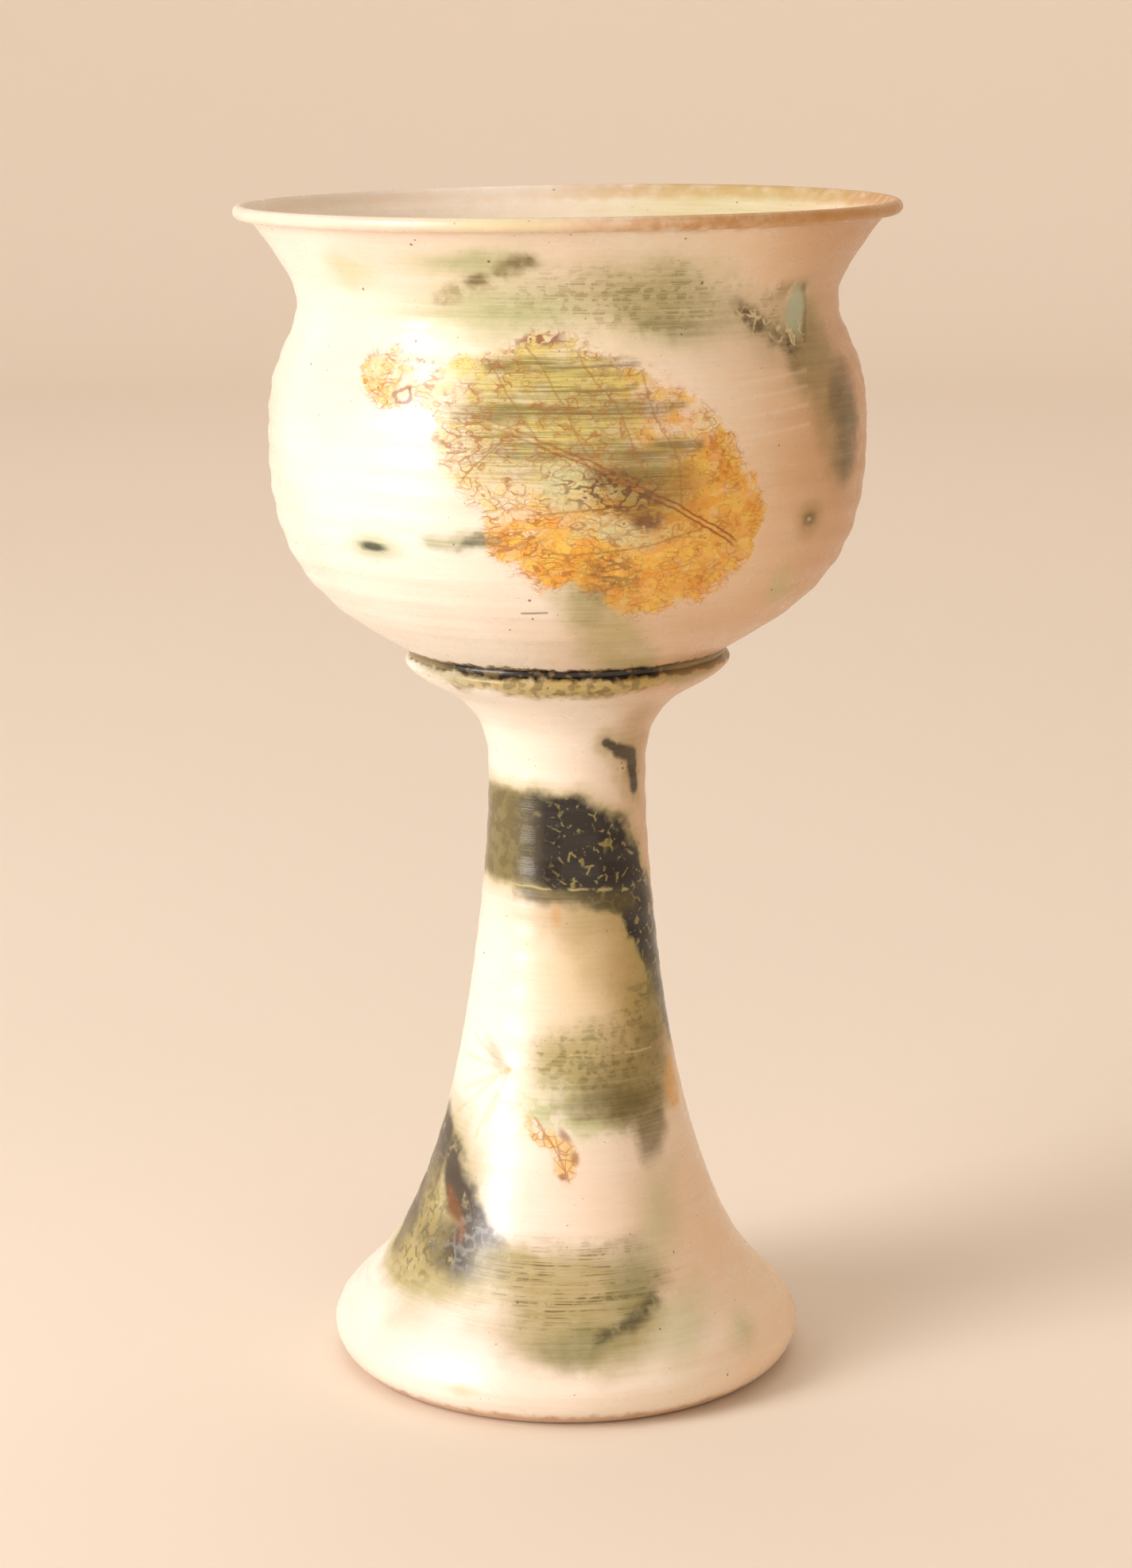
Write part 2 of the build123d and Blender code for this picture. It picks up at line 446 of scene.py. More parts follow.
    def length(self, first, second):
        pair = self.add("ShaderNodeCombineXYZ")
        self.link(first, pair.inputs[0])
        self.link(second, pair.inputs[1])
        whole = self.add("ShaderNodeVectorMath", operation="LENGTH")
        self.link(pair.outputs[0], whole.inputs[0])
        return whole.outputs["Value"]

    def dab(self, at, size, turn=0.0, soft=0.5, where=None, strength=1.0):
        """1 within an oval of these half sizes, and 0 outside it."""
        place = self.ragged if where is None else where
        far = self.length(*self.seen_from(place, at, turn, size))
        return self.ramp(far, 1 + soft, 1 - soft, 0.0, strength)

    def dabs(self, *given, **same):
        """The strongest of several dabs at each place."""
        return self.strongest(*[self.dab(*one, **same) for one in given])

    def strongest(self, *masks):
        most = masks[0]
        for mask in masks[1:]:
            most = self.calc("MAXIMUM", most, mask)
        return most

    def stroke(self, points, width, soft=0.5, where=None):
        """1 along a brush stroke through these points."""
        place = self.ragged if where is None else where
        pulls = []
        for (x0, z0), (x1, z1) in zip(points, points[1:]):
            half = math.dist((x0, z0), (x1, z1)) / 2
            turn = math.degrees(math.atan2(z1 - z0, x1 - x0))
            along, across = self.seen_from(place, ((x0 + x1) / 2, (z0 + z1) / 2), turn)
            beyond = self.calc("MAXIMUM", self.calc("SUBTRACT", self.calc("ABSOLUTE", along), half), 0.0)
            pulls.append(self.ramp(self.length(beyond, across), width * (1 + soft), width * (1 - soft)))
        return self.strongest(*pulls)

    def strokes(self, *given, **same):
        """The strongest of several brush strokes at each place."""
        return self.strongest(*[self.stroke(*one, **same) for one in given])

    def both(self, *masks):
        """Masks multiplied together."""
        whole = masks[0]
        for mask in masks[1:]:
            whole = self.calc("MULTIPLY", whole, mask)
        return whole

    def blend(self, mask, first, second):
        """The first colour where the mask is 0 and the second where it is 1."""
        mix = self.add("ShaderNodeMix", data_type="RGBA")
        self.link(mask, mix.inputs["Factor"])
        for colour, socket in ((first, MIX_A), (second, MIX_B)):
            self.link(srgb(*colour) if isinstance(colour, tuple) else colour, mix.inputs[socket])
        return mix.outputs[MIX_RESULT]

    def layer(self, mask, colour):
        """Lays a colour over what is there, as thick as the mask."""
        self.colour = self.blend(mask, self.colour, colour)

    def paint(self, colour, *masks):
        """Lays a colour on the outside only, as thick as these masks multiplied together."""
        self.layer(self.both(self.outside, *masks), colour)

    def wash(self, mask, strength, colour, thin=0.62):
        """A thin brushed oxide, streaked by the throwing lines under it."""
        streaks = self.calc("MULTIPLY_ADD", self.mottle, 0.4, self.streaks)
        self.paint(colour, mask, self.ramp(streaks, 0.5, 0.9, thin, 1.0), strength)


CREAM = (240, 231, 219)
PINK_CREAM = (235, 214, 196)
SPECK = (122, 78, 46)
INK = (32, 26, 25)


def stoneware(name):
    """The cream glaze under all the brushwork, and the noises that the brushwork shares."""
    g = Glaze(name, CREAM)
    wide = (g.noise(9, 3, seed=1), g.noise(9, 3, seed=1.5))
    g.fine = g.noise(1.6, seed=2)
    fine = (g.fine, g.noise(1.6, seed=2.5))
    g.ragged = g.shaken(g.front, (*wide, (9, 6)), (*fine, (1.6, 1.3)))
    g.behind = g.shaken(g.back, (*wide, (9, 6)), (*fine, (1.6, 1.3)))
    g.near = g.shaken(g.front, (*wide, (2, 1.5)), (*fine, (0.8, 0.7)))
    flat = g.add("ShaderNodeVectorMath", operation="MULTIPLY")
    g.link(g.shaken(g.front, (*fine, (2, 1.5))), flat.inputs[0])
    flat.inputs[1].default_value = (0.8, 1.25, 0)
    g.lacework = flat.outputs[0]
    g.streaks = g.noise(1, 3, (17, 17, 0.62), seed=3, rough=0.6)
    g.lines = g.noise(1, 2, (18, 18, 0.35), seed=4, rough=0.55)
    g.clouds = g.noise(38, seed=5)
    g.mottle = g.noise(3.2, 4, seed=6, rough=0.62)
    g.grain = g.noise(0.55, seed=7)
    g.patchy = g.ramp(g.mottle, 0.4, 0.56)
    g.layer(g.ramp(g.clouds, 0.4, 0.66, 0, 0.75), PINK_CREAM)
    # Warmer and darker towards the right: partly a flush in the glaze, partly painted shade where the
    # light falls away.
    warm_flush_and_shade = g.ramp(g.calc("ADD", g.x, g.calc("MULTIPLY", g.clouds, 26)), 4, 76, 0, 0.9)
    outer = g.ramp(g.inside, 0, 1, 1, 0.3)
    g.layer(g.both(warm_flush_and_shade, outer, g.ramp(g.mottle, 0.3, 0.7, 0.7, 1)), (240, 196, 146))
    g.layer(g.ramp(g.streaks, 0.52, 0.75, 0, 0.22), (214, 188, 156))
    g.layer(g.ramp(g.lines, 0.56, 0.74, 0, 0.18), (250, 244, 232))
    return g


def specks(g, cell, size, share, mask, colour):
    """Specks of iron that bled through from the clay, one in some of the cells."""
    spots = g.add("ShaderNodeTexVoronoi")
    g.link(g.point, spots.inputs["Vector"])
    spots.inputs["Scale"].default_value = 1 / cell
    pick = g.add("ShaderNodeSeparateColor")
    g.link(spots.outputs["Color"], pick.inputs[0])
    reach = g.calc("MULTIPLY", pick.outputs[1], size / cell)
    near = g.ramp(g.calc("SUBTRACT", spots.outputs["Distance"], reach), 0.35 * size / cell, 0)
    chosen = g.calc("LESS_THAN", pick.outputs[0], share)
    g.layer(g.both(near, chosen, mask), colour)


def crackle(g, where, cell, width):
    """Fine lines between the cells of a net, as the veins of a leaf leave them."""
    net = g.add("ShaderNodeTexVoronoi", feature="DISTANCE_TO_EDGE")
    g.link(where, net.inputs["Vector"])
    net.inputs["Scale"].default_value = 1 / cell
    return g.ramp(net.outputs["Distance"], width / cell, 0.2 * width / cell)


def squiggles(g, size, count, width, seed):
    """Fine wandering lines, as a decaying leaf leaves them: the level lines of a noise."""
    level = g.calc("FRACT", g.calc("MULTIPLY", g.noise(size, 2, (1.5, 1.5, 0.8), seed), count))
    return g.ramp(g.calc("ABSOLUTE", g.calc("SUBTRACT", level, 0.5)), width, width * 0.35)


# A lobed leaf was pressed on the bowl and fired away, and left its print.
LEAF_LENGTH = 78.0
# The base of the leaf on the bowl, and the way it points, in degrees.
LEAF_AT, LEAF_TURN = (31, 171.5), 157.5
# How far apart its smallest veins are.
AREOLE = 2.2

# Half widths of the leaf above and below its midrib, as (place along it, width).
UPPER_HALF = ((-6, 0), (-4, 9), (4, 15.5), (16, 21), (30, 22), (44, 20.5), (52, 17), (62.5, 6.2),
              (64.5, 4), (70, 5.5), (78, 0))
LOWER_HALF = ((-6, 0), (-5, 5), (5, 16), (12, 20), (22, 18.6), (28.5, 20.6), (35, 19.3), (41, 17.9),
              (46, 12), (53.5, 9.4), (58, 5), (62.6, 1), (70, 4.1), (78, 0))
PROFILE_START, PROFILE_END, PROFILE_REACH = -8, 82, 30.0


def profile(g, along, points):
    """The half width of a leaf at each place along it."""
    node = g.add("ShaderNodeFloatCurve")
    curve = node.mapping.curves[0]
    for place, width in points:
        curve.points.new((place - PROFILE_START) / (PROFILE_END - PROFILE_START), width / PROFILE_REACH)
    curve.points.remove(curve.points[0])
    curve.points.remove(curve.points[len(curve.points) - 1])
    node.mapping.update()
    g.link(g.ramp(along, PROFILE_START, PROFILE_END, kind="LINEAR"), node.inputs["Value"])
    return g.calc("MULTIPLY", node.outputs[0], PROFILE_REACH)


def leaf_shape(g):
    """Where the leaf lies: how far along it each place is, how far inside its edge, and its blade."""
    g.along, across = g.seen_from(g.near, LEAF_AT, LEAF_TURN, (1, -1))
    bow = g.calc("SINE", g.calc("MULTIPLY", g.along, math.pi / LEAF_LENGTH))
    g.from_rib = g.calc("ABSOLUTE", g.calc("SUBTRACT", across, g.calc("MULTIPLY", bow, 3.2)))
    away = g.calc("ABSOLUTE", across)
    tooth = g.noise(2.6, 5, seed=11, rough=0.8)
    frayed = g.calc("MULTIPLY_ADD", g.calc("SUBTRACT", tooth, 0.5), 6, g.along)
    upper, lower = profile(g, frayed, UPPER_HALF), profile(g, frayed, LOWER_HALF)
    is_upper = g.calc("GREATER_THAN", across, 0)
    width = g.calc("ADD", lower, g.calc("MULTIPLY", is_upper, g.calc("SUBTRACT", upper, lower)))
    lobe = g.noise(9, seed=10)
    g.lobed = g.calc("MULTIPLY_ADD", g.calc("SUBTRACT", lobe, 0.5), 8, g.calc("SUBTRACT", width, away))
    g.margin = g.calc("MULTIPLY_ADD", g.calc("SUBTRACT", tooth, 0.52), 10, g.lobed)
    g.blade = g.both(g.ramp(g.margin, -0.6, 1.2), g.outside)


def leaf_flesh(g):
    """The yellow of the blade, thick in some of the cells between veins and thin in others."""
    g.lacy = g.noise(2.2, 4, seed=12, rough=0.75)
    cells = g.add("ShaderNodeTexVoronoi")
    g.link(g.lacework, cells.inputs["Vector"])
    cells.inputs["Scale"].default_value = 1 / AREOLE
    cell = g.add("ShaderNodeSeparateColor")
    g.link(cells.outputs["Color"], cell.inputs[0])
    faded = g.strongest(
        g.dab((-18, 183), (14, 16), soft=0.6),
        g.dab((-24, 199), (8, 5)),
        g.dab((-10, 175), (8, 4)),
        g.dab((19, 197), (7.5, 8.5), turn=-40),
        g.ramp(g.along, 56, 64, 0, 0.55),
        g.both(g.ramp(g.lobed, 5, 0), 0.5),
    )
    filled = g.calc("MULTIPLY_ADD", cell.outputs[0], 0.3, g.lacy)
    ripe = g.strongest(
        g.dab((29, 179), (10, 12), turn=20, soft=0.6),
        g.dab((18, 197), (8, 9), soft=0.6, strength=0.6),
        g.dab((10, 168.5), (26, 10.5), turn=-4, soft=0.4),
        g.ramp(g.along, 56, 66, 0, 0.5),
    )
    thick = g.calc("MULTIPLY_ADD", ripe, 0.16, g.calc("MULTIPLY_ADD", faded, -0.26, filled))
    thick = g.ramp(thick, 0.26, 0.78, 0.2, 0.97)
    hue = g.calc("MULTIPLY_ADD", cell.outputs[1], 0.35, g.mottle)
    gold = g.blend(g.ramp(hue, 0.4, 0.95), (238, 194, 84), (230, 158, 48))
    riper = g.ramp(g.calc("MULTIPLY_ADD", g.mottle, 0.5, ripe), 0.25, 0.9)
    body = g.blend(riper, (228, 210, 124), gold)
    g.layer(g.both(g.blade, thick), body)


def leaf_copper(g):
    """Copper in the middle of the print, streaked by the wheel."""
    core = g.strongest(
        g.dab((-3.5, 194), (17.5, 11.5), turn=4, soft=0.6),
        g.dab((13, 184), (9, 7), soft=0.6),
    )
    heart = g.both(g.dab((14, 182), (9, 6.5), turn=-20, soft=0.8), g.blade)
    g.layer(g.both(core, g.blade, g.ramp(g.streaks, 0.3, 0.66, 0.3, 0.75)), (156, 146, 78))
    g.layer(g.both(core, g.blade, g.ramp(g.lines, 0.5, 0.62), 0.52), (98, 82, 40))
    g.layer(g.both(heart, 0.6), (122, 98, 42))
    bars = g.strokes(
        ([(-14, 203), (12, 203.5)], 0.9), ([(-19, 194.6), (20, 195.5)], 1.1),
        ([(-12, 188.2), (24, 188.8)], 1.2), ([(-8, 198.6), (12, 199.2)], 0.6),
        ([(4, 183.5), (21, 184.5)], 1.1), soft=1,
    )
    g.layer(g.both(bars, g.ramp(g.streaks, 0.36, 0.6, 0.15, 0.62)), (92, 84, 44))
    gaps = g.dabs(((-0.5, 181.5), (5, 5), 20), ((9, 173.8), (8.5, 2.9), -8))
    g.layer(g.both(gaps, g.ramp(g.lacy, 0.36, 0.6, 0.3, 0.95)), (208, 208, 168))


def leaf_veins(g):
    """The fine net, the side veins and the midrib."""
    net = crackle(g, g.lacework, AREOLE, 0.2)
    small_net = crackle(g, g.lacework, 0.46 * AREOLE, 0.1)
    broken = g.ramp(g.noise(4.4, 3, seed=13), 0.36, 0.56)
    wander = squiggles(g, 4.2, 8, 0.16, 14)
    fray = g.ramp(g.margin, -2.4, 0.8)
    lines = g.strongest(wander, g.both(net, 0.6), g.both(small_net, 0.35))
    g.paint((156, 92, 34), lines, broken, fray, g.ramp(g.along, 8, 38, 0.5, 0.72))
    stipple = g.both(g.ramp(g.grain, 0.56, 0.68), g.ramp(g.lacy, 0.45, 0.6), g.blade)
    g.layer(g.both(stipple, 0.62), (160, 96, 34))
    laterals = [
        [(20.8, 178), (20.8, 185.8), (16.3, 193.5), (13.1, 202)],
        [(17, 179.2), (12.6, 187.9), (9.7, 194.6), (1.8, 205.6)],
        [(8, 184), (3.9, 187.4), (0.6, 193.8), (-3.1, 200.8), (-7.7, 207.2)],
        [(24.4, 173.5), (14.3, 171), (5.8, 169.6), (-3.7, 170.1)],
        [(16.4, 178.9), (8.9, 178.1), (0.6, 177.4), (-6.8, 176.6)],
        [(-4, 189), (-10, 197), (-13, 203)],
        [(-10, 191), (-17, 185), (-22, 179)],
    ]
    for line in laterals:
        vein = g.stroke(line, 0.2, 0.7, where=g.near)
        g.paint((150, 108, 46), vein, g.ramp(g.margin, 0, 1.5), 0.5)
    midrib = g.ramp(g.calc("ABSOLUTE", g.calc("SUBTRACT", g.from_rib, 0.5)), 0.34, 0.08)
    g.paint((150, 86, 30), midrib, g.ramp(g.along, -3, 0), g.ramp(g.along, 66, 20), 0.9)


def leaf_iron(g):
    """Iron that gathered in spots on the print and round it."""
    dense = g.dab((8, 181), (9, 3.8), turn=-6, where=g.near)
    curl = squiggles(g, 2.6, 5, 0.24, 15)
    tangle = g.strongest(curl, g.both(g.ramp(g.lacy, 0.5, 0.62), 0.7))
    g.paint((96, 56, 28), dense, tangle, 0.85)
    spot = g.dab((14.7, 175.7), (2.6, 1.7), where=g.near)
    g.paint((110, 70, 32), spot, g.ramp(g.fine, 0.36, 0.5, 0.3, 1), 0.85)
    under = g.dab((7.8, 165.6), (5, 4.2), soft=0.7)
    g.paint((122, 94, 44), under, g.strongest(curl, g.ramp(g.lacy, 0.42, 0.6)), 0.7)
    marks = g.dabs(((-4.2, 207.3), (3.6, 1.1)), ((-26.8, 203.4), (2.2, 0.9), -20))
    g.layer(g.both(marks, g.ramp(g.fine, 0.48, 0.56), 0.8), (128, 60, 26))
    ring = g.calc("ABSOLUTE", g.calc("SUBTRACT", g.dab((-30.3, 197.2), (1.6, 1.2), soft=0.9), 0.5))
    g.paint((128, 66, 26), g.ramp(ring, 0.3, 0.1), 0.8)


def below_lip(g):
    """Painted shade, warm and darker on the right and low on the bowl, and the green and olive brushed
    round under the lip.
    """
    # Painted shade: a warm tan towards the right side of the bowl.
    painted_shade_right = g.ramp(g.calc("MULTIPLY_ADD", g.clouds, 8, g.x), 32, 58, 0, 0.85)
    g.paint((198, 150, 106), painted_shade_right)
    # Painted shade and bounced light: a warm tint low on the bowl, towards the right.
    g.paint((204, 154, 106), g.ramp(g.z, 174, 150, 0, 0.6), g.ramp(g.x, -10, 30))
    greens = g.dabs(
        ((-44, 218.5), (6, 3.5)), ((-17, 220.5), (13, 3), 2), ((-9, 212.5), (19, 5.5), 2),
        ((-15, 216), (10, 4.2), 8), ((46, 161), (4, 3)), ((14, 214), (15, 8)),
        soft=0.9,
    )
    g.wash(greens, 0.6, (184, 188, 132), thin=0.8)
    deeper = g.dabs(((-12, 212), (14, 3.6), 2), ((-15, 220.5), (9, 1.8)), soft=0.9)
    g.wash(deeper, 0.55, (146, 156, 92))
    g.wash(g.dab((16.5, 213.5), (12, 5.5), -14, soft=0.8), 0.72, (154, 142, 88), thin=0.5)
    g.wash(g.dab((18.5, 210), (8, 1.6), -4, soft=0.8), 0.6, (124, 118, 66), thin=0.5)
    dry = g.dabs(((12, 214.5), (21, 5.5)), ((38, 211), (8, 4), -12), soft=0.6)
    g.paint((126, 112, 56), dry, g.ramp(g.fine, 0.48, 0.57), g.ramp(g.lines, 0.44, 0.56, 0.2, 1), 0.55)
    trail = g.stroke([(-22, 214.5), (-17, 217), (-13, 218.6), (-8.5, 220.6)], 1.5, 0.9)
    g.wash(g.both(trail, g.patchy), 0.6, (138, 114, 62))
    spots = g.dabs(((-8.4, 220.7), (3, 1.4)), ((-15.2, 218.2), (2.6, 1), 20), soft=0.8)
    g.wash(spots, 0.8, (100, 78, 34))


def right_of_bowl(g):
    """The olive band that drips down the right side, with its pale blot and torn seams."""
    right = g.dabs(((42, 208), (11, 4.5), -18), ((52, 206.5), (7, 7.5)), soft=0.9)
    g.wash(right, 0.65, (150, 150, 106), thin=0.7)
    band = g.stroke([(52, 204), (57.5, 197), (61.5, 189), (61, 185.5)], 6.8)
    g.wash(band, 0.8, (146, 126, 72), thin=0.7)
    thickest = g.stroke([(63, 194), (66, 189.5), (65, 185.5)], 6, 0.45)
    g.wash(thickest, 0.9, (104, 84, 42), thin=0.65)
    blots = g.dabs(((36.5, 210.2), (5, 2.2), -25), ((44.6, 205), (4.6, 2.6), -30), soft=0.6)
    g.wash(g.both(blots, g.ramp(g.mottle, 0.34, 0.54, 0.3, 1)), 0.92, (86, 66, 26))
    edge = g.stroke([(50.6, 215), (52, 210), (51, 206)], 0.7, 0.8, where=g.near)
    g.wash(edge, 0.6, (100, 84, 44))
    g.wash(g.both(g.stroke([(41.5, 214.4), (50.5, 214.9)], 1.3, 0.9), g.patchy), 0.6, (136, 120, 64))
    g.wash(g.dab((48, 210.6), (2.5, 4.2), 6), 0.95, (178, 192, 164), thin=0.85)
    seams = crackle(g, g.near, 2.8, 0.34)
    torn = g.dabs(((37.5, 209.6), (6, 2.4), -22), ((46, 206.8), (5, 2.6), -10))
    g.paint((232, 216, 176), seams, torn, g.ramp(g.fine, 0.46, 0.54), 0.75)


def low_on_bowl(g):
    """The ringed spot, the dark dashes and the drip under the leaf."""
    g.wash(g.dab((51.3, 173.2), (3.6, 2.9), soft=0.8, where=g.near), 0.8, (164, 130, 68), thin=0.8)
    g.wash(g.dab((51.2, 173.2), (1.9, 1.3), soft=0.7, where=g.near), 0.85, (104, 78, 30), thin=0.8)
    g.paint((206, 184, 150), g.dab((51.1, 173.2), (0.6, 0.4), soft=0.35, where=g.front), 0.7)
    halo = g.dab((-37.5, 169.4), (5.4, 2.2), soft=0.8, where=g.near)
    g.wash(halo, 0.75, (146, 164, 106), thin=0.7)
    dark = g.dab((-37.7, 169.4), (3.1, 0.9), where=g.near)
    g.wash(dark, 0.95, (44, 48, 30), thin=0.9)
    under = g.stroke([(-25.5, 171.2), (-16.8, 171.8), (-10, 172.6)], 1.3, 0.8)
    g.wash(under, 0.75, (138, 148, 96), thin=0.6)
    dark = g.stroke([(-18, 171.6), (-10, 172.4), (-5, 172.4)], 0.8, 0.9)
    g.wash(dark, 0.8, (70, 66, 42), thin=0.6)
    drip = g.stroke([(1.5, 170), (5.5, 161), (10.5, 147)], 6.4)
    g.wash(drip, 0.75, (176, 166, 104), thin=0.7)
    g.wash(g.stroke([(3, 167), (5, 158)], 2.6, 0.8), 0.45, (140, 130, 74))
    dash = g.stroke([(-8, 158.1), (-3.4, 158.3)], 0.2, 0.7, where=g.front)
    g.wash(dash, 0.75, (96, 78, 54), thin=0.7)


def back_of_bowl(g):
    """A broad sweep of the same copper and iron, and a few dashes."""
    far = g.behind
    sweep = g.stroke([(44, 204), (26, 210), (4, 208), (-18, 212)], 5, 0.9, where=far)
    g.wash(sweep, 0.6, (150, 156, 98), thin=0.7)
    pool = g.dabs(((30, 176), (11, 14), 24), ((12, 168), (16, 6), -8), where=far, soft=0.8)
    g.wash(pool, 0.75, (156, 142, 84), thin=0.65)
    deeper = g.dabs(((32, 181), (5, 8), 20), ((-6, 209), (9, 2.4)), where=far, soft=0.8)
    g.wash(deeper, 0.8, (90, 80, 44), thin=0.65)
    dashes = g.dabs(((-30, 190), (4.6, 1.2), 6), ((-14, 161), (3, 0.9)), where=far, soft=0.7)
    g.wash(dashes, 0.9, (60, 56, 34), thin=0.85)


def painted_glints(g):
    """Painted highlights: pale glints on the throwing lines at the right."""
    lines = [([(33, z), (50, z + 1.3)], 0.3, 0.9) for z in (189.5, 193, 196.3, 199)]
    g.paint((246, 236, 220), g.strokes(*lines, where=g.front), 0.22)


def finish_glaze(g, gloss, bare):
    """Sets the shine and the relief of the glaze from its layers."""
    specks(g, 3.4, 0.28, 0.34, g.calc("SUBTRACT", 0.8, g.both(g.inside, 0.2)), SPECK)
    specks(g, 1.5, 0.14, 0.3, g.ramp(g.clouds, 0.35, 0.6, 0.3, 0.9), (150, 106, 74))
    g.link(g.colour, g.shader.inputs["Base Color"])
    rough = g.ramp(g.mottle, 0.3, 0.7, 0.25, 0.38)
    if gloss is not None:
        rough = g.calc("MULTIPLY_ADD", gloss, -0.13, rough)
    rough = g.calc("MAXIMUM", rough, g.calc("MULTIPLY", bare, 0.85))
    g.link(rough, g.shader.inputs["Roughness"])
    relief = g.calc("MULTIPLY_ADD", g.lines, 0.05, g.calc("MULTIPLY", g.grain, 0.02))
    relief = g.calc("MULTIPLY_ADD", g.mottle, 0.045, relief)
    relief = g.calc("MULTIPLY_ADD", g.calc("MULTIPLY", g.grain, bare), 0.08, relief)
    bump = g.add("ShaderNodeBump")
    g.link(g.calc("MULTIPLY", relief, MM), bump.inputs["Height"])
    bump.inputs["Distance"].default_value = 1.0
    bump.inputs["Strength"].default_value = 0.8
    g.link(bump.outputs[0], g.shader.inputs["Normal"])
    g.shader.inputs["IOR"].default_value = 1.55


def lip_and_inside(g):
    """The lip, toasted where the glaze ran thin, and the stains and the pool inside the bowl."""
    top = g.calc("ADD", g.z, g.calc("MULTIPLY", g.x, -TILT))
    lip = g.ramp(g.calc("ADD", top, g.calc("MULTIPLY", g.mottle, 1.6)), HEIGHT - 2.6, HEIGHT - 1)
    right = g.ramp(g.x, -16, 26, 0.25, 0.95)
    g.layer(g.both(lip, right, g.ramp(g.mottle, 0.3, 0.62, 0.6, 1)), (190, 138, 76))
    tint = g.dab((-12, HEIGHT), (12, 3), soft=0.7)
    g.layer(g.both(tint, lip, 0.5), (206, 200, 140))
    within = g.both(g.inside, g.ramp(g.z, HEIGHT, HEIGHT - 3))
    g.layer(g.both(within, g.ramp(g.mottle, 0.3, 0.7, 0.3, 0.5)), (230, 200, 164))
    stain = g.both(g.inside, g.dab((-38, 220), (32, 11), where=g.behind, soft=0.8))
    g.layer(g.both(stain, g.ramp(g.streaks, 0.3, 0.66, 0.6, 1), 0.75), (196, 190, 128))
    g.layer(g.both(g.inside, g.dab((-46, 219), (7, 4), where=g.behind, soft=0.7), 0.7), (112, 116, 88))
    pool = g.both(g.inside, g.ramp(g.calc("MULTIPLY_ADD", g.clouds, 14, g.z), 168, 156, 0, 0.5))
    g.layer(g.both(pool, g.ramp(g.mottle, 0.35, 0.6, 0.5, 1)), (206, 200, 158))


def joint_line(g):
    """The olive and the dark glaze that pooled in the groove of the joint, round the front."""
    reach = g.ramp(g.calc("ABSOLUTE", g.calc("ADD", g.x, 2)), 24, 17)
    drift = g.calc("MULTIPLY_ADD", g.mottle, 3.2, g.calc("MULTIPLY_ADD", g.fine, 1.2, g.z))
    height = g.calc("ABSOLUTE", g.calc("SUBTRACT", drift, SEAT_HEIGHT + 2.6))
    ahead = g.ramp(g.depth, 14, 6)
    wide = g.ramp(g.calc("ABSOLUTE", g.x), 36, 29)
    g.paint((120, 98, 52), g.ramp(height, 1.5, 0.9), wide, ahead, 0.85)
    broken = g.ramp(g.fine, 0.34, 0.48, 0.25, 1)
    g.paint(INK, g.ramp(height, 1.1, 0.6), reach, ahead, broken)


def bowl_glaze():
    g = stoneware("bowl_glaze")
    for part in (below_lip, right_of_bowl, low_on_bowl, back_of_bowl, leaf_shape, leaf_flesh, leaf_copper,
                 leaf_veins, leaf_iron, painted_glints, lip_and_inside, joint_line):
        part(g)
    finish_glaze(g, None, g.both(g.inside, g.ramp(g.z, BASE_HEIGHT + 0.6, BASE_HEIGHT + 0.2)))
    return g.material


def below_joint(g):
    """Painted shade on the right of the stem, and the yellow olive that runs down from the joint."""
    # Painted shade: a warm tan towards the right of the stem, from its middle upwards.
    g.paint((200, 152, 102), g.ramp(g.x, 6, 17, 0, 0.7), g.ramp(g.z, 50, 80))
    skirt = g.dabs(((-2, 141), (20, 2.2)), ((-12, 140.8), (12, 1.6), 3), ((10, 141), (8, 2)))
    g.wash(skirt, 0.92, (176, 152, 74), thin=0.85)
    g.wash(g.both(skirt, g.ramp(g.fine, 0.46, 0.58)), 0.65, (98, 84, 38), thin=0.8)
    ends = g.dabs(((-26, 141.6), (9, 1.3)), ((26, 141.6), (9, 1.2)), soft=0.6)
    g.wash(ends, 0.7, (140, 134, 80))


def hook_on_stem(g):
    """The dark hook under the collar and the brown that bled from it, with a tan under the collar at the
    right that is partly painted shade.
    """
    # A tan under the collar at the right: partly a brushed wash, partly painted shade under the collar's
    # overhang.
    g.wash(g.dab((15.5, 129), (4.5, 6), soft=0.8), 0.6, (176, 146, 100), thin=0.7)
    bleed = g.stroke([(8, 127.6), (13.6, 125), (15.8, 116)], 2.4, 0.9)
    g.wash(bleed, 0.7, (166, 146, 86), thin=0.8)
    hook = g.strokes(
        ([(8.2, 127.4), (11.5, 125.2)], 0.9), ([(11, 125.4), (14.4, 124.2), (15, 121.5)], 1.5, 0.4),
        ([(15, 121.5), (15.8, 117)], 1.2), where=g.near,
    )
    g.wash(hook, 0.97, (52, 38, 26), thin=0.9)


